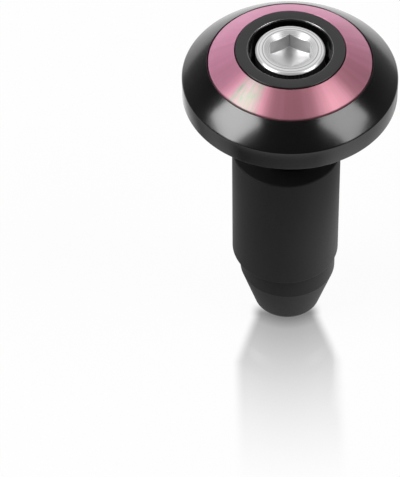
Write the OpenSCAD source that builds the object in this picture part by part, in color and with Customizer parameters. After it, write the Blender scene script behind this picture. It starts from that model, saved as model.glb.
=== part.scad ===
// Bar end weight for a motorcycle handlebar, in millimetres.
// It stands on the flat end of its nose, with the weight on top and +Z up.
// The axis of every turned piece is the Z axis.
// One cap screw goes down through the weight and the rubber sleeve into the
// nose nut. Tightening it pulls the nut up, and the sleeve swells in the bar.

/* [Weight] */
// Diameter of the rim
cap_d = 33; // [28:0.5:40]
// Height of the straight rim, from the face on the bar end to the upper edge
rim_h = 3.7; // [2.5:0.1:6]
// Chamfer on the lower edge of the rim
rim_low_edge = 0.25; // [0.1:0.05:0.6]
// Chamfer on the upper edge of the rim, where the cone starts
rim_top_edge = 0.2; // [0.05:0.05:0.4]
// Height of the cone at the outer edge of the coloured ring, above the bar face
cone_h = 6.75; // [6.4:0.05:7.5]
// Height of the whole weight above the bar face, up to the flat of the boss
cap_h = 9.25; // [8.7:0.05:11]
// Diameter of the boss round the screw head
boss_d = 16.7; // [15.5:0.1:18]
// Chamfer on the outer edge of the boss
boss_edge = 0.15; // [0.05:0.05:0.4]
// Chamfer on the mouth of the counterbore
counterbore_edge = 0.2; // [0.05:0.05:0.4]

/* [Neck] */
// Diameter of the neck below the bar face
neck_d = 10.5; // [9.5:0.1:13]
// Length of the neck, from the bar face to the sleeve
neck_l = 12.2; // [6:0.1:18]
// Radius in the corner between the bar face and the neck
neck_fillet = 0.6; // [0.2:0.1:1.2]
// Chamfer on the free end of the neck
neck_edge = 0.3; // [0.1:0.1:0.8]

/* [Coloured ring] */
// Outer diameter of the ring
ring_d = 24.9; // [22:0.1:27]
// Height of the outer wall of the ring, which sinks into its seat
ring_wall = 1.2; // [0.8:0.1:1.8]
// Chamfer on the two upper edges of the ring
ring_edge = 0.08; // [0.04:0.02:0.2]
// Play between the ring and the walls of its seat, on each side
ring_play = 0.15; // [0.05:0.05:0.3]
// Chamfer on the outer edge of the seat, where the cone of the weight ends
seat_edge = 0.1; // [0.05:0.05:0.2]

/* [Screw] */
// Nominal diameter of the thread
screw_d = 6; // [5:0.5:6.5]
// How far the tip of the screw stays inside the end of the nose
tip_inset = 0.2; // [0.1:0.1:4]
// Diameter of the head
head_d = 10.6; // [9.8:0.1:11]
// Height of the head
head_h = 5.9; // [5.2:0.1:6.2]
// Chamfer round the top of the head
head_edge = 0.25; // [0.2:0.05:0.8]
// Fillet under the head, where it meets the shank
head_fillet = 0.15; // [0.1:0.05:0.2]
// Hexagon of the socket across its flats
hex_af = 6; // [5:0.5:6]
// Depth of the corners of the socket, down to its conical floor
hex_depth = 2.7; // [2.5:0.1:3.6]
// Width of the cone that breaks the mouth of the socket
hex_mouth_d = 8; // [7.1:0.1:8.2]
// Slope of that cone, from the flat of the head
hex_mouth_slope = 25; // [20:5:50]
// Angle of the conical floor of the socket, which the drill leaves
drill_angle = 135; // [110:1:140]
// Chamfer on the tip of the screw
tip_edge = 0.6; // [0.3:0.1:0.9]
// Length of the thread
thread_l = 24; // [20:1:30]
// Depth by which the plain shank is thinner than the thread
shank_relief = 0.1; // [0.05:0.05:0.3]
// Play round the screw where it passes through the weight, on each side
screw_play = 0.2; // [0.1:0.05:0.4]
// Play round the screw head in its counterbore, on each side
head_play = 1.02; // [0.5:0.01:1.3]

/* [Rubber sleeve] */
// Diameter of the sleeve, which slides into the bore of the bar
sleeve_d = 17; // [13:0.5:19]
// Length of the sleeve at rest
sleeve_l = 22.6; // [18:0.1:30]
// Radius on the two outer edges of the sleeve
sleeve_edge = 0.25; // [0.1:0.05:0.6]
// Play round the screw in the bore of the sleeve, on each side
sleeve_play = 0.5; // [0.45:0.05:0.8]
// How far the loose sleeve hangs to the left of the screw
sleeve_shift = 0.4; // [0:0.05:0.4]

/* [Nose nut] */
// Diameter of the straight band of the nut
nut_d = 15.3; // [12:0.1:17]
// Height of the straight band
nut_band = 4.2; // [2.5:0.1:6]
// Height of the cone below the band
nut_cone = 7.85; // [5:0.05:10]
// Diameter of the flat end of the cone, on which the weight stands
nose_d = 10.7; // [9.5:0.1:11.5]
// Chamfer on the upper edge of the band
nut_edge = 0.2; // [0.1:0.05:0.5]
// Chamfer round the flat end
nose_edge = 0.2; // [0.1:0.05:0.4]
// Depth of the countersink at both ends of the threaded hole
nut_sink = 0.5; // [0.2:0.1:0.8]
// Play between the thread of the screw and the hole of the nut, on each side
thread_play = 0.05; // [0.03:0.01:0.1]

/* [Hidden] */
$fn = 96;
// A cut that runs past the face it opens
past = 1;
// Heights from the flat end of the nose upwards. The screw is as long as the
// stack that it holds together, 50 mm under its head at these sizes.
z_band = nut_cone;
z_sleeve = z_band + nut_band;
z_neck = z_sleeve + sleeve_l;
z_bar = z_neck + neck_l;
z_rim = z_bar + rim_h;
z_cone = z_bar + cone_h;
z_top = z_bar + cap_h;
z_head = z_top - head_h;
z_tip = tip_inset;
z_ring = z_cone - ring_wall;
// Radii that follow from the sizes above
cap_r = cap_d / 2;
boss_r = boss_d / 2;
ring_r = ring_d / 2;
neck_r = neck_d / 2;
screw_r = screw_d / 2;
shank_r = screw_r - shank_relief;
head_r = head_d / 2;
counterbore_r = head_r + head_play;
hole_r = screw_r + screw_play;
sleeve_r = sleeve_d / 2;
sleeve_hole_r = screw_r + sleeve_play;
nut_r = nut_d / 2;
nose_r = nose_d / 2;
nut_hole_r = screw_r + thread_play;
// Corner radius of the hexagon, and the cone at the mouth of the socket
hex_r = hex_af / 2 / cos(30);
mouth_r = hex_mouth_d / 2;
mouth_depth = (mouth_r - hex_af / 2) * tan(hex_mouth_slope);
// The conical floor reaches the corners of the hexagon and a little past them
drill_r = hex_r + 0.5;
drill_depth = drill_r / tan(drill_angle / 2);
z_floor = z_top - hex_depth + 0.5 / tan(drill_angle / 2);
// Slope of the ring, which its own section and the boss share
ring_slope = (cap_h - cone_h) / (ring_r - boss_r);
// Slope of the cone of the weight, from the rim up to the seat of the ring
cone_slope = (cone_h - rim_h) / (cap_r - rim_top_edge - ring_r - ring_play);

// Points of a quarter round that turns from angle a0 to angle a1 about (x, y)
function arc(x, y, r, a0, a1, steps = 6) =
    [for (i = [0:steps]) let (a = a0 + (a1 - a0) * i / steps)
        [x + r * cos(a), y + r * sin(a)]];

// Half section of the weight, drawn from the axis outwards
module cap_section() {
    polygon(concat(
        [[0, z_neck],
         [neck_r - neck_edge, z_neck],
         [neck_r, z_neck + neck_edge]],
        arc(neck_r + neck_fillet, z_bar - neck_fillet, neck_fillet, 180, 90),
        [[cap_r - rim_low_edge, z_bar],
         [cap_r, z_bar + rim_low_edge],
         [cap_r, z_rim - rim_top_edge],
         [cap_r - rim_top_edge, z_rim],
         [ring_r + ring_play + seat_edge, z_cone - seat_edge * cone_slope],
         [ring_r + ring_play, z_cone - 2 * seat_edge],
         [ring_r + ring_play, z_ring],
         [boss_r, z_ring],
         [boss_r, z_top - boss_edge],
         [boss_r - boss_edge, z_top],
         [0, z_top]]));
}

// The weight: rim, cone, seat of the ring, boss and neck, turned from one bar
module end_cap() {
    color([0.10, 0.10, 0.11])
    difference() {
        rotate_extrude() cap_section();
        // Counterbore for the screw head, with its edge broken
        translate([0, 0, z_head]) cylinder(h = head_h + past, r = counterbore_r);
        translate([0, 0, z_top - counterbore_edge])
            cylinder(h = counterbore_edge + past,
                r1 = counterbore_r, r2 = counterbore_r + counterbore_edge + past);
        // Clearance hole down through the neck
        translate([0, 0, z_neck - past])
            cylinder(h = z_head - z_neck + 2 * past, r = hole_r);
    }
}

// The coloured ring: its sloping face carries on the cone of the weight
module accent_ring() {
    inner_r = boss_r + ring_play;
    color([0.86, 0.36, 0.62])
    rotate_extrude() polygon([
        [inner_r, z_ring],
        [ring_r, z_ring],
        [ring_r, z_cone - ring_edge],
        [ring_r - ring_edge, z_cone + ring_edge * ring_slope],
        [inner_r + ring_edge, z_top - (ring_play + ring_edge) * ring_slope],
        [inner_r, z_top - ring_edge - ring_play * ring_slope]]);
}

// Half section of the screw before its socket is cut
module screw_section() {
    polygon(concat(
        [[0, z_tip],
         [screw_r - tip_edge, z_tip],
         [screw_r, z_tip + tip_edge],
         [screw_r, z_tip + thread_l],
         [shank_r, z_tip + thread_l + shank_relief]],
        arc(shank_r + head_fillet, z_head - head_fillet, head_fillet, 180, 90, 4),
        [[head_r, z_head],
         [head_r, z_top - head_edge],
         [head_r - head_edge, z_top],
         [0, z_top]]));
}

// Hexagon socket: straight walls that end in the cone left by the drill, and a
// wider cone at the mouth that scallops their upper edges
module hex_socket() {
    intersection() {
        translate([0, 0, z_floor - drill_depth - past])
            rotate([0, 0, 30])
                cylinder(h = z_top - z_floor + drill_depth + 2 * past, r = hex_r, $fn = 6);
        rotate_extrude() polygon([
            [0, z_floor - drill_depth],
            [drill_r, z_floor],
            [drill_r, z_top + past],
            [0, z_top + past]]);
    }
    translate([0, 0, z_top - mouth_depth])
        cylinder(h = mouth_depth + past, r1 = hex_af / 2,
            r2 = mouth_r + past / tan(hex_mouth_slope));
}

module cap_screw() {
    color([0.78, 0.78, 0.80])
    difference() {
        rotate_extrude() screw_section();
        hex_socket();
    }
}

// The rubber sleeve: a plain tube, cut square, with its edges rounded
module rubber_sleeve() {
    out_r = sleeve_r - sleeve_edge;
    color([0.16, 0.16, 0.16])
    translate([-sleeve_shift, 0, 0])
    rotate_extrude() polygon(concat(
        [[sleeve_hole_r, z_sleeve]],
        arc(out_r, z_sleeve + sleeve_edge, sleeve_edge, -90, 0, 4),
        arc(out_r, z_neck - sleeve_edge, sleeve_edge, 0, 90, 4),
        [[sleeve_hole_r, z_neck]]));
}

// The nose nut: a straight band and a cone, drilled and threaded right through
module nose_nut() {
    color([0.26, 0.26, 0.27])
    difference() {
        rotate_extrude() polygon([
            [0, 0],
            [nose_r - nose_edge, 0],
            [nose_r, nose_edge],
            [nut_r, z_band],
            [nut_r, z_sleeve - nut_edge],
            [nut_r - nut_edge, z_sleeve],
            [0, z_sleeve]]);
        translate([0, 0, -past]) cylinder(h = z_sleeve + 2 * past, r = nut_hole_r);
        translate([0, 0, -past])
            cylinder(h = nut_sink + past, r1 = nut_hole_r + nut_sink + past, r2 = nut_hole_r);
        translate([0, 0, z_sleeve - nut_sink])
            cylinder(h = nut_sink + past, r1 = nut_hole_r, r2 = nut_hole_r + nut_sink + past);
    }
}

end_cap();
accent_ring();
cap_screw();
rubber_sleeve();
nose_nut();
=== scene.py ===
# %% [markdown]
# # A bar end weight for a motorcycle
# This lesson dresses a small turned part: a black anodised weight with a pink
# ring, a socket head screw, a rubber sleeve and the nut that swells it. The
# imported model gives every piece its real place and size, in metres, with the
# part standing on the flat end of its nose at the origin.

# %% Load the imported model
import bpy, bmesh, math
from mathutils import Matrix, Vector


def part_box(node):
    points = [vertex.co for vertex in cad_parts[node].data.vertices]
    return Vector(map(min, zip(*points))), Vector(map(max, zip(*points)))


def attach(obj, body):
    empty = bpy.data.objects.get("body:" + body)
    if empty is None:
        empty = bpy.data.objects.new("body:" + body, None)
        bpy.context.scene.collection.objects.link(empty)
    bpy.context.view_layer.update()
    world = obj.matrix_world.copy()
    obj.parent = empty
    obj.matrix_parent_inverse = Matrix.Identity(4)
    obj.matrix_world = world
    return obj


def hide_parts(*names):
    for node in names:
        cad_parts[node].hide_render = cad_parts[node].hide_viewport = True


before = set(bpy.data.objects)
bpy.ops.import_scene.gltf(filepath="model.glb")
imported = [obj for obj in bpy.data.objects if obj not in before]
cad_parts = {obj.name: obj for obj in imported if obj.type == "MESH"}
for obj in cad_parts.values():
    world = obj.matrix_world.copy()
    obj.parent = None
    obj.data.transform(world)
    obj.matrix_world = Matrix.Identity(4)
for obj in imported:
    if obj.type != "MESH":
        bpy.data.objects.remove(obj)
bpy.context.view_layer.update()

print("nodes:", sorted(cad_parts))

# %% [markdown]
# ## The heights that everything hangs on
# A lathe hand reads a part as diameters and heights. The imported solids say
# where each piece begins and ends, so the heights come from their boxes and
# the few sizes that a box can't show, such as the slope of a cone, are named
# here in millimetres. One millimetre is a thousandth of a Blender unit.

# %% Read the boxes of the solids
def span(node):
    """Lowest and highest corner of a node's box, in millimetres."""
    low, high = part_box(node)
    return [v * 1000 for v in low], [v * 1000 for v in high]

_, cap_high = span("end_cap")
ring_low, ring_high = span("accent_ring")
screw_low, screw_high = span("cap_screw")
sleeve_low, sleeve_high = span("rubber_sleeve")
_, nut_high = span("nose_nut")
print("the screw runs from %.2f to %.2f mm" % (screw_low[2], screw_high[2]))

# %% Name the heights and radii
weight_height, rim_height, cone_height, head_height = 9.25, 3.7, 6.75, 5.9
top = cap_high[2]
bar_face = top - weight_height
rim_top = bar_face + rim_height
cone_top = bar_face + cone_height
ring_seat = ring_low[2]
head_seat = top - head_height
cap_r, ring_r, boss_r = cap_high[0], ring_high[0], 8.35
head_r, bore_r, neck_r = screw_high[0], 6.32, 5.25
screw_r, hole_r = 3.0, 3.2
sleeve_r = (sleeve_high[0] - sleeve_low[0]) / 2
sleeve_x = (sleeve_high[0] + sleeve_low[0]) / 2
print("top %.2f, bar face %.2f, rim radius %.2f" % (top, bar_face, cap_r))

# %% [markdown]
# ## A lathe in one function
# Every piece here is turned, and Blender's spin is a lathe: draw half of the
# section beside the Z axis, spin it once round, and merge the seam. The sharp
# rings that a cutting tool leaves are then broken with a tiny bevel, because
# a real edge always catches a thread of light. Bevelling by the angle between
# faces finds those rings by itself, so the section can stay short.

# %% Find the rings that a bevel should break
same_place = 1e-7

def ring_edges(bm, angle):
    """Edges that run round the axis and fold by more than an angle."""
    found = []
    for edge in bm.edges:
        a, b = (v.co for v in edge.verts)
        level = abs(a.z - b.z) < same_place
        if level and len(edge.link_faces) == 2 and edge.calc_face_angle() > angle:
            found.append(edge)
    return found

# %% Spin a section and break its edges
def turn(section, steps=160, edge=0.06, angle=12, shift=0.0):
    """A closed section in millimetres, spun once round the Z axis."""
    bm = bmesh.new()
    points = [bm.verts.new((r / 1000, 0, z / 1000)) for r, z in section]
    loop = [bm.edges.new((points[i], points[(i + 1) % len(points)]))
            for i in range(len(points))]
    bmesh.ops.spin(bm, geom=points + loop, cent=(0, 0, 0), axis=(0, 0, 1),
                   angle=math.tau, steps=steps, use_merge=True)
    bmesh.ops.remove_doubles(bm, verts=bm.verts, dist=same_place)
    bmesh.ops.recalc_face_normals(bm, faces=bm.faces)
    rings = ring_edges(bm, math.radians(angle))
    bmesh.ops.bevel(bm, geom=rings, offset=edge / 1000, offset_type="OFFSET",
                    segments=3, profile=0.5, affect="EDGES", material=-1,
                    clamp_overlap=True)
    bmesh.ops.translate(bm, verts=bm.verts, vec=(shift / 1000, 0, 0))
    print("turned", len(section), "corners,", len(rings) // steps, "edges broken")
    return bm

# %% [markdown]
# ## From a bmesh to a piece
# A bmesh is only a working drawing: the scene shows objects, and each object
# shows a mesh. A finished piece is smooth shaded except where two faces meet
# at a real corner, it replaces the plain solid of its node, and it rides on
# the one body that the part has.

# %% Put a bmesh in the scene
def as_object(name, bm):
    """An object of a bmesh, which is freed."""
    mesh = bpy.data.meshes.new(name)
    bm.to_mesh(mesh)
    bm.free()
    obj = bpy.data.objects.new(name, mesh)
    bpy.context.scene.collection.objects.link(obj)
    return obj

# %% Make a piece of a bmesh
def piece(name, bm, node, sharp=40):
    """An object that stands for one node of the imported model."""
    for edge in bm.edges:
        if len(edge.link_faces) == 2:
            edge.smooth = edge.calc_face_angle() < math.radians(sharp)
    for face in bm.faces:
        face.smooth = True
    obj = as_object(name, bm)
    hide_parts(node)
    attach(obj, "root")
    print(name, len(obj.data.polygons), "faces")
    return obj

# %% [markdown]
# ## The weight
# The weight is one turning: a rim, a cone, a seat for the ring, the boss with
# its counterbore, and a neck that reaches into the bar. It could be made of
# stacked cylinders, but a single section keeps every surface joined as the
# lathe left them.

# %% Name the edges of the weight
ring_play = 0.15
neck_edge, under_edge, rim_edge = 0.3, 0.25, 0.2
seat_edge, boss_edge, bore_edge = 0.1, 0.05, 0.2
fillet, fillet_middle = 0.6, 0.18
neck_low = sleeve_high[2]
seat_r = ring_r + ring_play
cone_slope = (cone_top - rim_top) / (cap_r - rim_edge - seat_r)
print("the cone rises %.2f mm for each millimetre inwards" % cone_slope)

# %% Turn the weight
cap_section = [
    (hole_r, neck_low), (neck_r - neck_edge, neck_low),
    (neck_r, neck_low + neck_edge), (neck_r, bar_face - fillet),
    (neck_r + fillet_middle, bar_face - fillet_middle), (neck_r + fillet, bar_face),
    (cap_r - under_edge, bar_face), (cap_r, bar_face + under_edge),
    (cap_r, rim_top - rim_edge), (cap_r - rim_edge, rim_top),
    (seat_r + seat_edge, cone_top - seat_edge * cone_slope),
    (seat_r, cone_top - 2 * seat_edge), (seat_r, ring_seat), (boss_r, ring_seat),
    (boss_r, top - boss_edge), (boss_r - boss_edge, top), (bore_r + bore_edge, top),
    (bore_r, top - bore_edge), (bore_r, head_seat), (hole_r, head_seat)]
weight_bm = turn(cap_section, steps=192, edge=0.05)

# %% [markdown]
# ## The bright edge of the counterbore
# Where a part is anodised first and bored afterwards, the last edge that the
# tool breaks is bare metal, and it shows as a thin bright line. It could be
# painted with a texture, but the bevel already has faces of its own, so those
# faces simply get a second material.

# %% Mark the bright edge
bevel_reach = 0.07
for face in weight_bm.faces:
    middle = face.calc_center_median() * 1000
    from_edge = abs(middle.xy.length - bore_r - bore_edge)
    if from_edge < bevel_reach and middle.z > top - bevel_reach:
        face.material_index = 1
print("bright faces:", sum(face.material_index for face in weight_bm.faces))
weight = piece("weight", weight_bm, "end_cap")

# %% [markdown]
# ## The coloured ring
# The ring is a short cone that drops into its seat, with its upper corners
# just broken so that a dark line shows on both sides of it. A ring of its own
# is better than a coloured band on the weight, since its edges then catch the
# light and it can be had in other colours.

# %% Turn the ring
ring_edge = 0.08
ring_slope = (top - cone_top) / (ring_r - boss_r)
inner_r = boss_r + ring_play
inner_top = top - ring_play * ring_slope
ring_section = [
    (inner_r, ring_seat), (ring_r, ring_seat), (ring_r, cone_top - ring_edge),
    (ring_r - ring_edge, cone_top + ring_edge * ring_slope),
    (inner_r + ring_edge, inner_top - ring_edge * ring_slope),
    (inner_r, inner_top - ring_edge)]
ring = piece("coloured_ring", turn(ring_section, steps=192, edge=0.03),
             "accent_ring")

# %% [markdown]
# ## The screw
# A socket head screw is a shank and a round head. Both are spun from one
# section like the rest, with the top of the head slightly domed, as a
# polished one is. The threads are hidden in the nut, so the shank stays plain.

# %% Name the sizes of the shank and the head
tip, thread_length, tip_edge = screw_low[2], 24, 0.6
shank_r, neck_fillet, under_head_edge = screw_r - 0.1, 0.15, 0.1
knurl_low, knurl_high, knurl_fade, knurl_depth = head_seat + 0.5, top - 0.6, 0.1, 0.12
shoulder, dome_step, dome_height = 0.32, 0.25, 0.09
mouth_r = 4.0
print("thread %.1f mm across and %.0f mm long" % (2 * screw_r, thread_length))

# %% Turn the shank and the head
screw_section = [
    (0, tip), (screw_r - tip_edge, tip), (screw_r, tip + tip_edge),
    (screw_r, tip + thread_length),
    (shank_r, tip + thread_length + screw_r - shank_r),
    (shank_r, head_seat - neck_fillet), (shank_r + neck_fillet, head_seat),
    (head_r - under_head_edge, head_seat), (head_r, head_seat + under_head_edge),
    (head_r, knurl_low - knurl_fade), (head_r, knurl_low),
    (head_r, knurl_high), (head_r, knurl_high + knurl_fade),
    (head_r, top - shoulder), (head_r - dome_step, top - dome_height),
    (mouth_r, top), (0, top)]
columns = 120
screw_bm = turn(screw_section, steps=columns, edge=0.02)

# %% [markdown]
# ## The knurling
# The side of the head is knurled with fine upright ridges, so that fingers
# can spin it. Sixty separate ridges would cost many faces. The spin already
# gave the head 120 columns of corners, so drawing every second column in a
# little leaves sixty ridges that fade out above and below.

# %% Knurl the side of the head
drawn_in = 0
for vert in screw_bm.verts:
    column = round(math.atan2(vert.co.y, vert.co.x) / math.tau * columns)
    height = round(vert.co.z * 1000, 3)
    if height in (round(knurl_low, 3), round(knurl_high, 3)) and column % 2:
        vert.co.xy *= (head_r - knurl_depth) / head_r
        drawn_in += 1
print("ridges:", drawn_in // 2)

# %% [markdown]
# ## The hexagon socket
# The socket is what catches the eye: six flats end in a conical floor, and a
# countersink breaks the mouth, so each flat ends in a scallop. Cutting the
# same shapes away from the head as the factory does gives those scallops by
# themselves, where modelling them by hand would be slow. The conical floor
# comes from trimming the six sided cutter to a point before it is used.

# %% Cut one solid out of another
def cut(bm, tool):
    """The first bmesh with the second one cut away, as a new bmesh."""
    body, knife = as_object("cutting", bm), as_object("cutting", tool)
    mod = body.modifiers.new("cut", "BOOLEAN")
    mod.operation, mod.solver, mod.object = "DIFFERENCE", "EXACT", knife
    done = body.evaluated_get(bpy.context.evaluated_depsgraph_get())
    out = bmesh.new()
    out.from_mesh(done.to_mesh())
    done.to_mesh_clear()
    for obj in (body, knife):
        mesh = obj.data
        bpy.data.objects.remove(obj)
        bpy.data.meshes.remove(mesh)
    print("cut:", len(out.faces), "faces")
    return out

# %% Make a cone or a prism
def cone(r1, r2, z1, z2, sides=96):
    """A cone or prism in millimetres between two heights."""
    bm = bmesh.new()
    bmesh.ops.create_cone(bm, cap_ends=True, segments=sides, radius1=r1 / 1000,
                          radius2=r2 / 1000, depth=(z2 - z1) / 1000)
    bmesh.ops.translate(bm, verts=bm.verts, vec=(0, 0, (z1 + z2) / 2000))
    return bm

# %% Shape the six sided cutter
flat_r, socket_depth, drill_angle = 3.0, 2.7, 135
past = 1.0
corner_r = flat_r / math.cos(math.pi / 6)
floor_slope = math.tan(math.radians(90 - drill_angle / 2))
point = top - socket_depth - corner_r * floor_slope
floor_r, outside_r = corner_r + 0.5, 9
floor_top = point + floor_r * floor_slope
prism = cone(corner_r, corner_r, point, top + past, sides=6)
block = cone(outside_r, outside_r, point - past, floor_top)
below_floor = cut(block, cone(0, floor_r, point, floor_top))
cutter = cut(prism, below_floor)
print("socket %.1f mm across its flats, point at %.2f" % (2 * flat_r, point))

# %% Cut the socket and its mouth
mouth_angle = 25
mouth_slope = math.tan(math.radians(mouth_angle))
mouth = cone(flat_r, mouth_r + past / mouth_slope,
             top - (mouth_r - flat_r) * mouth_slope, top + past)
for tool in (cutter, mouth):
    screw_bm = cut(screw_bm, tool)

# %% Sort the faces of the head by their finish
finishes = ("plain", "broached", "drilled", "dark_knurl")
margin, steep = 0.1, 0.3
side_r, side_top = head_r - 0.15, top - shoulder - 0.02
for face in screw_bm.faces:
    middle = face.calc_center_median() * 1000
    from_axis = middle.xy.length
    if from_axis < corner_r and point - margin < middle.z < top - margin:
        finish = "broached" if abs(face.normal.z) < steep else "drilled"
    elif from_axis > side_r and head_seat < middle.z < side_top:
        finish = "dark_knurl"
    else:
        finish = "plain"
    face.material_index = finishes.index(finish)
for index, finish in enumerate(finishes):
    print(finish, sum(face.material_index == index for face in screw_bm.faces))
screw = piece("cap_screw_turned", screw_bm, "cap_screw", sharp=20)

# %% [markdown]
# ## The rubber sleeve
# The sleeve is a length of thick tube cut square. Rubber never keeps a sharp
# corner, so its edges get a wider bevel than the metal ones. It hangs a hair
# to one side of the screw, because its bore is wider than the shank.

# %% Turn the sleeve
low, high, tube_r = sleeve_low[2], sleeve_high[2], 3.5
sleeve_section = [(tube_r, low), (sleeve_r, low), (sleeve_r, high), (tube_r, high)]
sleeve = piece("sleeve", turn(sleeve_section, edge=0.25, shift=sleeve_x),
               "rubber_sleeve")

# %% [markdown]
# ## The nose nut
# The nut has a straight band that the sleeve sits on and a long cone that
# finds its way into the bar. Its hole goes right through.

# %% Turn the nut
nut_r, nut_top = nut_high[0], nut_high[2]
nose_r, band_low, nut_edge, tapped_r, lead_in = 5.35, 7.85, 0.2, 3.05, 0.5
nut_section = [
    (tapped_r, lead_in), (tapped_r + lead_in, 0), (nose_r - nut_edge, 0),
    (nose_r, nut_edge), (nut_r, band_low), (nut_r, nut_top - nut_edge),
    (nut_r - nut_edge, nut_top), (tapped_r + lead_in, nut_top),
    (tapped_r, nut_top - lead_in)]
nut = piece("nut", turn(nut_section, edge=0.08), "nose_nut")

# %% [markdown]
# ## Words for the shader nodes
# A material is a chain of small sums on the place of each point. Written node
# by node it would be long and hard to follow, so a few short functions stand
# for the sums that come again and again. Each one takes plain numbers or the
# output of another node, and hands back its own output.

# %% Start a material and add nodes to it
def new_material(name):
    """A material with its tree and its Principled shader."""
    mat = bpy.data.materials.new(name)
    mat.use_nodes = True
    tree = mat.node_tree
    print("material", name)
    return mat, tree, tree.nodes["Principled BSDF"]

def add_node(tree, kind, **values):
    """A new node with some of its settings written."""
    made = tree.nodes.new(kind)
    for key, value in values.items():
        setattr(made, key, value)
    return made

def feed(tree, sockets, values):
    """Link each output to its socket, or write a plain value there."""
    for socket, value in zip(sockets, values):
        if isinstance(value, bpy.types.NodeSocket):
            tree.links.new(value, socket)
        else:
            socket.default_value = value

# %% Sums on numbers and on places
def maths(tree, operation, *values, clamp=False):
    """A sum on numbers."""
    made = add_node(tree, "ShaderNodeMath", operation=operation, use_clamp=clamp)
    feed(tree, made.inputs, values)
    return made.outputs[0]

def vectors(tree, operation, *values):
    """A sum on vectors; a length, distance or dot product is a number."""
    made = add_node(tree, "ShaderNodeVectorMath", operation=operation)
    feed(tree, made.inputs, values)
    number = operation in ("LENGTH", "DISTANCE", "DOT_PRODUCT")
    return made.outputs["Value" if number else "Vector"]

def place_of(tree):
    """Where a point lies on its object, in metres."""
    return add_node(tree, "ShaderNodeTexCoord").outputs["Object"]

def distance_from_axis(tree, place):
    """How far a place lies from the Z axis."""
    return vectors(tree, "LENGTH", vectors(tree, "MULTIPLY", place, (1, 1, 0)))

def split(tree, vector):
    """The X, Y and Z of a vector."""
    made = add_node(tree, "ShaderNodeSeparateXYZ")
    feed(tree, made.inputs, [vector])
    return made.outputs

# %% Ranges and mixes
def remap(tree, value, low, high, to_low=0.0, to_high=1.0, soft=False):
    """A value carried from one range to another and held at both ends."""
    made = add_node(tree, "ShaderNodeMapRange",
                    interpolation_type="SMOOTHSTEP" if soft else "LINEAR")
    names = ("Value", "From Min", "From Max", "To Min", "To Max")
    feed(tree, [made.inputs[name] for name in names],
         (value, low, high, to_low, to_high))
    return made.outputs["Result"]

def mixed(tree, share, first, second):
    """Two colours mixed by a share."""
    made = add_node(tree, "ShaderNodeMix", data_type="RGBA")
    # Its number, vector and colour sockets share their names, so the ones for
    # colours are taken by their places.
    feed(tree, [made.inputs[i] for i in (0, 6, 7)], (share, first, second))
    return made.outputs[2]

def layered(tree, share, under, over):
    """One shader laid over another by a share."""
    made = add_node(tree, "ShaderNodeMixShader")
    feed(tree, made.inputs, (share, under, over))
    return made.outputs[0]

# %% Noise and bump
def noise(tree, vector, scale, detail=2):
    """A soft random value at each place."""
    made = add_node(tree, "ShaderNodeTexNoise")
    names = ("Vector", "Scale", "Detail")
    feed(tree, [made.inputs[name] for name in names], (vector, scale, detail))
    return made.outputs[0]

def bumped(tree, shader, height, strength, distance):
    """A shader whose surface seems to rise and fall with a height."""
    made = add_node(tree, "ShaderNodeBump")
    names = ("Height", "Strength", "Distance")
    feed(tree, [made.inputs[name] for name in names], (height, strength, distance))
    tree.links.new(made.outputs["Normal"], shader.inputs["Normal"])

# %% [markdown]
# ## Turned metal
# A lathe leaves fine rings round the axis, and they are why turned metal
# draws a lamp out into a fan of light. The distance from the axis plus the
# height drives a one dimensional noise, which makes the rings, and the
# anisotropy does the rest: its tangent runs round the Z axis. A picture of
# brushed metal would need unwrapping, and would never close without a seam.

# %% Rings left by the lathe
def turned_rings(tree, scale):
    """Noise that only changes with the distance from the axis and the height."""
    place = place_of(tree)
    from_axis = distance_from_axis(tree, place)
    made = add_node(tree, "ShaderNodeTexNoise", noise_dimensions="1D")
    names = ("W", "Scale", "Detail")
    total = maths(tree, "ADD", split(tree, place)["Z"], from_axis)
    feed(tree, [made.inputs[name] for name in names], (total, scale, 4))
    return made.outputs[0]

# %% A finish for turned metal
ring_depth = 0.00002

def turned_metal(name, colour, metallic, roughness, scale, anisotropic, bump):
    """A metal with lathe rings; its roughness varies between two values."""
    mat, tree, shader = new_material(name)
    shader.inputs["Base Color"].default_value = (*colour, 1)
    shader.inputs["Metallic"].default_value = metallic
    shader.inputs["Anisotropic"].default_value = anisotropic
    shader.inputs["Anisotropic Rotation"].default_value = 0.25
    rings = turned_rings(tree, scale)
    tree.links.new(remap(tree, rings, 0, 1, *roughness), shader.inputs["Roughness"])
    bumped(tree, shader, rings, bump, ring_depth)
    if anisotropic:
        tangent = add_node(tree, "ShaderNodeTangent", direction_type="RADIAL", axis="Z")
        tree.links.new(tangent.outputs[0], shader.inputs["Tangent"])
    return mat, tree, shader

# %% [markdown]
# ## Black anodised aluminium
# Anodising grows a hard clear skin on aluminium and the black dye sits in it,
# so the light mostly comes back from the skin. A nearly black base with a
# satin coat does the same, where a metallic black would tint its highlights.

# %% Make the black
black, _, shader = turned_metal("black_anodised", (0.003, 0.003, 0.0032), 0.0,
                                (0.17, 0.25), 5000, 0.6, 0.12)
shader.inputs["IOR"].default_value = 1.45
shader.inputs["Coat Weight"].default_value = 0.80
shader.inputs["Coat Roughness"].default_value = 0.15
shader.inputs["Coat IOR"].default_value = 1.5
print("coat", shader.inputs["Coat Weight"].default_value)
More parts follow.
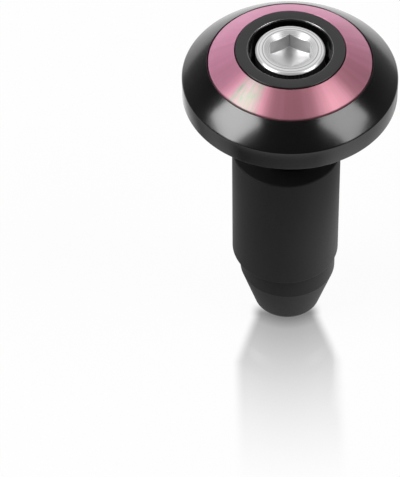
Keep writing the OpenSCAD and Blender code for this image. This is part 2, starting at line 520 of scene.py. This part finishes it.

# %% [markdown]
# ## Pink anodised aluminium
# The pink is half metal and half dye. Its colour is not even: it is painted
# paler and cooler towards the back and the left, as painted light where the
# ring mirrors the bright table and wall, with a random unevenness of the dye
# on top; and on one spot a painted highlight shows as green and white streaks.
# Painting that on a picture would tie it to one ring size. The direction seen
# from the axis puts the patch in its place, and stretched noise draws its
# streaks down the cone.

# %% Start the pink
pink, tree, shader = turned_metal("pink_anodised", (0.62, 0.25, 0.31), 0.45,
                                  (0.34, 0.42), 5000, 0.7, 0.06)
shader.inputs["Coat Weight"].default_value = 0.35
shader.inputs["Coat Roughness"].default_value = 0.3
shader.inputs["Sheen Weight"].default_value = 0.6
shader.inputs["Sheen Roughness"].default_value = 0.4
shader.inputs["Sheen Tint"].default_value = (1, 0.42, 0.62, 1)
print("metal share of the pink %.2f" % shader.inputs["Metallic"].default_value)

# %% Paint light on one side of the ring, and let the dye vary
place = place_of(tree)
way = vectors(tree, "NORMALIZE", vectors(tree, "MULTIPLY", place, (1, 1, 0)))

def towards(degrees):
    """How well a point's direction from the axis agrees with a given one."""
    angle = math.radians(degrees)
    return vectors(tree, "DOT_PRODUCT", way, (math.cos(angle), -math.sin(angle), 0))

# Painted light: the pink is paler and cooler towards the back and left, darker at the
# front.
shaded_pink, lit_pink = (0.51, 0.195, 0.25, 1), (0.92, 0.39, 0.60, 1)
lit_side, spread = 252, 0.25
painted_side_light = remap(tree, towards(lit_side), -0.95, 0.9)
uneven = remap(tree, noise(tree, way, 9, 3), 0, 1, -spread, spread)
dye_and_painted_light = mixed(tree, maths(tree, "ADD", painted_side_light, uneven, clamp=True),
            shaded_pink, lit_pink)
print("dye_and_painted_light", len(tree.nodes), "nodes")

# %% Place the painted highlight
# Painted highlight: a pale green and white patch in the colour, where the left softbox
# is mirrored on the ring.
highlight_at, highlight_end, highlight_full = 129, 15, 8
highlight_sector = remap(tree, towards(highlight_at), math.cos(math.radians(highlight_end)),
               math.cos(math.radians(highlight_full)), soft=True)
blotches = remap(tree, noise(tree, place, 700), 0, 1, 0.5, 1.1)
painted_highlight = maths(tree, "MULTIPLY", highlight_sector, blotches)
print("the film reaches", highlight_end, "degrees to each side of", highlight_at)

# %% Draw the streaks of the painted highlight and lay it on the pink
along, round_axis = (260, 260, 260), (16, 16, 16)
highlight_green, highlight_white = (0.16, 0.31, 0.19, 1), (0.37, 0.26, 0.27, 1)
drawn = vectors(tree, "MULTIPLY_ADD", place, along,
                vectors(tree, "MULTIPLY", way, round_axis))
streaks = remap(tree, noise(tree, drawn, 1, 3), 0.35, 0.62)
tint = mixed(tree, streaks, highlight_green, highlight_white)
tree.links.new(mixed(tree, painted_highlight, dye_and_painted_light, tint), shader.inputs["Base Color"])
print("pink", len(tree.nodes), "nodes")

# %% [markdown]
# ## The steel of the screw
# The head is turned bright and its socket is punched and drilled, and each
# step leaves another surface; the knurled side of the head is given a much
# darker steel than its face. One steel for all of them would look like
# plastic. The face also carries two thin grooves from the turning tool; their
# shade is painted as two dark rings by a colour ramp on the radius, which
# draws them more sharply than a groove would at this size.

# %% Make the bright face
bright_steel = (0.97, 0.96, 0.97)
steel, tree, shader = turned_metal("stainless", bright_steel, 0.56,
                                   (0.24, 0.34), 4000, 0.5, 0.12)
ramp_mm, plain_tone = 5, 0.97
radius = distance_from_axis(tree, place_of(tree))
# The two dark rings are the painted shade of two tool grooves, drawn in the colour.
painted_groove_shade = add_node(tree, "ShaderNodeValToRGB")
feed(tree, painted_groove_shade.inputs, [remap(tree, radius, 0, 1, 0, 1000 / ramp_mm)])
ramp = painted_groove_shade.color_ramp
for r, tone in ((4.10, plain_tone), (4.20, 0.45), (4.27, 0.45), (4.36, plain_tone),
                (4.62, plain_tone), (4.72, 0.60), (4.78, 0.60), (4.88, plain_tone)):
    ramp.elements.new(r / ramp_mm).color = (tone, tone, tone, 1)
for stop in (ramp.elements[0], ramp.elements[-1]):
    stop.color = (plain_tone, plain_tone, plain_tone, 1)
tree.links.new(painted_groove_shade.outputs[0], shader.inputs["Base Color"])
print("ring marks:", len(ramp.elements), "stops")

# %% Make the steel of the socket, the darkened knurl and the bright edge
broached = turned_metal("stainless_broached", (0.54, 0.54, 0.54), 0.7,
                        (0.42, 0.50), 3000, 0.0, 0.05)[0]
drilled = turned_metal("stainless_drilled", bright_steel, 1.0,
                       (0.30, 0.40), 5000, 0.4, 0.14)[0]
# The side of the head is given a dark steel, much darker than its face.
dark_knurl = turned_metal("stainless_knurled", (0.14, 0.14, 0.14), 0.9,
                       (0.45, 0.60), 4000, 0.0, 0.10)[0]
bright = turned_metal("bright_edge", (0.5, 0.5, 0.5), 1.0,
                      (0.20, 0.28), 3000, 0.0, 0.05)[0]

# %% [markdown]
# ## Dark metal
# The nut is dark and duller than the weight: a satin surface with a weak
# highlight. The same lathe rings serve, with more roughness and no coat.

# %% Make the dark metal
dark, _, shader = turned_metal("dark_metal", (0.012, 0.012, 0.0125), 0.0,
                               (0.40, 0.50), 6000, 0.2, 0.1)
shader.inputs["Specular IOR Level"].default_value = 0.28
print("highlight", shader.inputs["Specular IOR Level"].default_value)

# %% [markdown]
# ## Rubber
# Moulded rubber has no direction, only a fine grain that breaks up the light.
# An even noise on the place of each point gives the grain both its roughness
# and its bump, and the highlight is held low.

# %% Make the rubber
grain_scale, grain_depth = 5000, 0.00003
rubber, tree, shader = new_material("rubber")
shader.inputs["Base Color"].default_value = (0.015, 0.015, 0.015, 1)
shader.inputs["Specular IOR Level"].default_value = 0.2
grain = noise(tree, place_of(tree), grain_scale, 3)
tree.links.new(remap(tree, grain, 0, 1, 0.42, 0.56), shader.inputs["Roughness"])
bumped(tree, shader, grain, 0.15, grain_depth)

# %% [markdown]
# ## Dressing the pieces
# A face points to its material by a number, so the materials of a piece have
# to be added in the order in which its faces were numbered above. On the
# screw that order is the plain steel, the broached flats, the drilled floor
# and the knurl.

# %% Dress the pieces
for obj, mats in ((weight, [black, bright]), (ring, [pink]), (sleeve, [rubber]),
                  (screw, [steel, broached, drilled, dark_knurl]), (nut, [dark])):
    for mat in mats:
        obj.data.materials.append(mat)
    print(obj.name, [mat.name for mat in mats])

# %% [markdown]
# ## The white table
# A white table carries the part. Its white comes from the table itself, as a
# glow that only the eye and mirrors see, so no extra light falls on the part
# and its soft shadow stays. More lamps would whiten the table too, but they
# would wash out the part with it.

# %% Stand something in the studio
def staged(name, bm):
    """A mesh that belongs to the studio and not to the part."""
    obj = as_object(name, bm)
    print(name, "is %.2f m wide" % obj.dimensions.x)
    return obj

def sheet(name, size, height=0.0):
    """A flat square, given by half its side."""
    bm = bmesh.new()
    bmesh.ops.create_grid(bm, x_segments=1, y_segments=1, size=size)
    bmesh.ops.translate(bm, verts=bm.verts, vec=(0, 0, height))
    return staged(name, bm)

# %% A white that shows as white
def plain_white(name, share):
    """Matt white that shows as white to the eye and to mirrors."""
    mat, tree, shader = new_material(name)
    tree.nodes.remove(shader)
    matt = add_node(tree, "ShaderNodeBsdfDiffuse")
    matt.inputs["Color"].default_value = (0.93, 0.93, 0.93, 1)
    glow = add_node(tree, "ShaderNodeEmission")
    path = add_node(tree, "ShaderNodeLightPath").outputs
    seen = maths(tree, "MAXIMUM", path["Is Camera Ray"], path["Is Glossy Ray"])
    seen = maths(tree, "MAXIMUM", seen, path["Is Transmission Ray"])
    white = layered(tree, maths(tree, "MULTIPLY", seen, share),
                    matt.outputs[0], glow.outputs[0])
    tree.links.new(white, tree.nodes["Material Output"].inputs["Surface"])
    return mat, tree, white

# %% Lay the table
table_reach = 1.5
table = sheet("floor", table_reach)
mat, tree, white = plain_white("white_table", 0.95)
table.data.materials.append(mat)

# %% [markdown]
# ## The polished strip
# Under the nose the table is polished, and it mirrors the cone of the nut and
# a little of the sleeve. The mirror fades with the distance from the part, as
# where a table has been wiped only under the object. It could be a glossy
# table all over, but then the whole table would darken towards the back. Only
# the eye sees this strip, so the part itself mirrors an even white table.

# %% How strongly the table mirrors, with a painted contact shade
mirror_start, mirror_end, falloff, strength = 0.004, 0.042, 1.75, 0.65
# Painted contact shade: close round the nose the mirror is made stronger, which darkens
# the table there.
contact_shade_start, contact_shade_end, contact_shade_strength = 0.0055, 0.0078, 0.16
place = place_of(tree)
away = vectors(tree, "LENGTH", place)
nearness = remap(tree, away, mirror_start, mirror_end, 1, 0)
fade = maths(tree, "POWER", nearness, falloff)
contact_shade = remap(tree, away, contact_shade_start, contact_shade_end, contact_shade_strength, 0)
amount = maths(tree, "MULTIPLY_ADD", fade, strength, contact_shade)
print("the mirror ends %.0f mm from the part" % (1000 * mirror_end))

# %% Where the table is wiped
near_y, far_y, near_half, far_half = -0.005, -0.0145, 0.0050, 0.0081
strip_shift, strip_blur, front_start, front_full = 0.0003, 0.0011, -0.0015, -0.0045
xyz = split(tree, place)
half_width = remap(tree, xyz["Y"], near_y, far_y, near_half, far_half)
aside = maths(tree, "ABSOLUTE", maths(tree, "ADD", xyz["X"], strip_shift))
inside = maths(tree, "SUBTRACT", half_width, aside)
wiped = remap(tree, inside, -strip_blur, strip_blur, soft=True)
before = remap(tree, xyz["Y"], front_start, front_full, soft=True)
print("the strip is %.0f to %.0f mm wide" % (2000 * near_half, 2000 * far_half))

# %% Put the polish on the table
shown = maths(tree, "MULTIPLY", maths(tree, "MULTIPLY", amount, wiped), before)
eye = add_node(tree, "ShaderNodeLightPath").outputs["Is Camera Ray"]
polish = add_node(tree, "ShaderNodeBsdfGlossy")
polish.inputs["Roughness"].default_value = 0.10
polish.inputs["Color"].default_value = (0.6, 0.6, 0.6, 1)
waxed = layered(tree, maths(tree, "MULTIPLY", shown, eye), white, polish.outputs[0])
tree.links.new(waxed, tree.nodes["Material Output"].inputs["Surface"])
print("table", len(tree.nodes), "nodes")

# %% [markdown]
# ## The wall
# Far behind and to the left stands a low white wall. The eye never sees it,
# but the slopes of the cone do, and it gives them the pale edge that a room
# gives. A wall all round would be simpler and would brighten both sides.

# %% Raise the wall
wall_distance, wall_height, wall_start, wall_turn = 1.2, 0.12, 95, 120
bm = bmesh.new()
ends = [bm.verts.new((wall_distance, 0, z)) for z in (0, wall_height)]
upright = bm.edges.new(ends)
bmesh.ops.rotate(bm, verts=ends, cent=(0, 0, 0),
                 matrix=Matrix.Rotation(math.radians(wall_start), 3, "Z"))
bmesh.ops.spin(bm, geom=ends + [upright], cent=(0, 0, 0), axis=(0, 0, 1),
               angle=math.radians(wall_turn), steps=40)
wall = staged("wall", bm)
wall.data.materials.append(plain_white("white_wall", 0.92)[0])

# %% [markdown]
# ## The grey card
# A photographer lays dark card round a shiny black part, out of the picture,
# so that its rim doesn't mirror white paper all over. Here the card lies on
# the table and only mirrors see it: the eye, the lamps and the shadow pass
# through. Its darkness changes with the direction from the part, as strips of
# card of different greys would, and it thins out close to the part and far
# from it. A paler patch of it comes closer on the left.

# %% Lay the grey card
card_reach, card_height = 0.1, 0.0005
card = sheet("grey_card", card_reach, card_height)
card.visible_camera = card.visible_shadow = card.visible_diffuse = False
mat, tree, shader = new_material("grey_card")
shader.inputs["Base Color"].default_value = (0.01, 0.01, 0.01, 1)
shader.inputs["Roughness"].default_value = 0.9
card.data.materials.append(mat)

# %% Its darkness round the part
place = place_of(tree)
xyz = split(tree, place)
turned = maths(tree, "ARCTAN2", xyz["X"], maths(tree, "MULTIPLY", xyz["Y"], -1))
tone = add_node(tree, "ShaderNodeValToRGB")
feed(tree, tone.inputs, [remap(tree, turned, -math.pi, math.pi)])
stops = {-150: 0, -122: 0.5, -100: 0.84, -76: 0.54, -62: 0.6, -50: 0.94, -30: 0.86,
         0: 0.78, 24: 0.72, 42: 0.34, 54: 0.25, 80: 0.5, 112: 0.5, 134: 0.45,
         150: 0.7, 170: 0.2}
ramp = tone.color_ramp
for degrees, share in stops.items():
    ramp.elements.new(0.5 + degrees / 360).color = (share, share, share, 1)
ramp.elements.remove(ramp.elements[-1])
ramp.elements.remove(ramp.elements[0])
print("card:", len(ramp.elements), "greys")

# %% Its reach
inner_end, inner_full, outer_full, outer_end = 0.028, 0.045, 0.07, 0.098
left_spot, spot_end, spot_full, spot_grey = (-0.018, -0.012, 0), 0.04, 0.012, 0.62
away = vectors(tree, "LENGTH", place)
inner = remap(tree, away, inner_end, inner_full, soft=True)
outer = remap(tree, away, outer_end, outer_full, soft=True)
far = maths(tree, "MULTIPLY", maths(tree, "MULTIPLY", inner, outer), tone.outputs[0])
from_spot = vectors(tree, "DISTANCE", place, left_spot)
near = remap(tree, from_spot, spot_end, spot_full, 0, spot_grey, soft=True)
darkness = maths(tree, "MAXIMUM", far, near)
print("the card reaches from %.0f to %.0f mm" % (1000 * inner_end, 1000 * outer_end))

# %% Let only its upper side show
under_side = add_node(tree, "ShaderNodeNewGeometry").outputs["Backfacing"]
upper_side = maths(tree, "SUBTRACT", 1, under_side)
clear = add_node(tree, "ShaderNodeBsdfTransparent")
paper = layered(tree, maths(tree, "MULTIPLY", darkness, upper_side),
                clear.outputs[0], shader.outputs[0])
tree.links.new(paper, tree.nodes["Material Output"].inputs["Surface"])
print("card", len(tree.nodes), "nodes")

# %% [markdown]
# ## Light
# Two softboxes stand left and right, high enough that the cone mirrors each
# one a third of the way round from its front. A white card behind gives the
# flat of the boss and the polished table their even tone. Small bright lamps
# would draw hard spots on the satin black, where broad ones draw fans.

# %% A softbox
aim = Vector((0, 0, 0.04))

def softbox(name, azimuth, height, distance, size, glow):
    """An area lamp of a given brightness; azimuth 0 is behind the camera."""
    lamp = bpy.data.lights.new(name, "AREA")
    lamp.shape, (lamp.size, lamp.size_y) = "RECTANGLE", size
    lamp.energy = glow * math.pi * size[0] * size[1]
    obj = bpy.data.objects.new(name, lamp)
    bpy.context.scene.collection.objects.link(obj)
    a, h = math.radians(azimuth), math.radians(height)
    way = Vector((math.sin(a) * math.cos(h), -math.cos(a) * math.cos(h), math.sin(h)))
    obj.location = aim + way * distance
    obj.rotation_euler = way.to_track_quat("Z", "Y").to_euler()
    print("%s: %.1f W" % (name, lamp.energy))
    return obj

# %% Set the lamps
softbox("softbox_left", -78, 50, 0.8, (0.42, 0.42), 7.5)
softbox("softbox_right", 75, 50, 0.8, (0.40, 0.42), 4.7)
softbox("card_behind", 180, 45, 0.8, (0.9, 0.55), 0.60)

# %% [markdown]
# ## The room
# The room is dim, and dimmer towards its ceiling. That leaves the front and
# the sides of the black cone nearly black between the fans of the softboxes,
# and still gives the upright surfaces a little light from all round.

# %% Light the room
at_horizon, above, above_height = 0.24, 0.06, 0.55
world = bpy.data.worlds.new("room")
bpy.context.scene.world = world
world.use_nodes = True
tree = world.node_tree
room = tree.nodes["Background"]
room.inputs["Color"].default_value = (1, 1, 1, 1)
upwards = split(tree, add_node(tree, "ShaderNodeTexCoord").outputs["Generated"])["Z"]
strength = remap(tree, upwards, 0, above_height, at_horizon, above)
tree.links.new(strength, room.inputs["Strength"])
print("room from", at_horizon, "at the horizon to", above, "above")

# %% [markdown]
# ## Camera
# The picture is taken with a long lens from well above, so the rim is almost
# free of perspective while the sleeve still narrows a little downwards.

# %% Set the camera
camera_place, looks_down, leans = (-0.01413, -0.33716, 0.38669), 47.883, -0.988
camera = bpy.data.cameras.new("camera")
camera.lens, camera.sensor_width, camera.clip_end = 235.5, 36, 10
cam = bpy.data.objects.new("camera", camera)
bpy.context.scene.collection.objects.link(cam)
cam.matrix_world = (Matrix.Translation(camera_place)
                    @ Matrix.Rotation(math.radians(90 - looks_down), 4, "X")
                    @ Matrix.Rotation(math.radians(leans), 4, "Z"))
bpy.context.scene.camera = cam
bpy.context.scene.view_settings.view_transform = "Standard"
print("camera %.2f m from the part" % cam.matrix_world.translation.length)
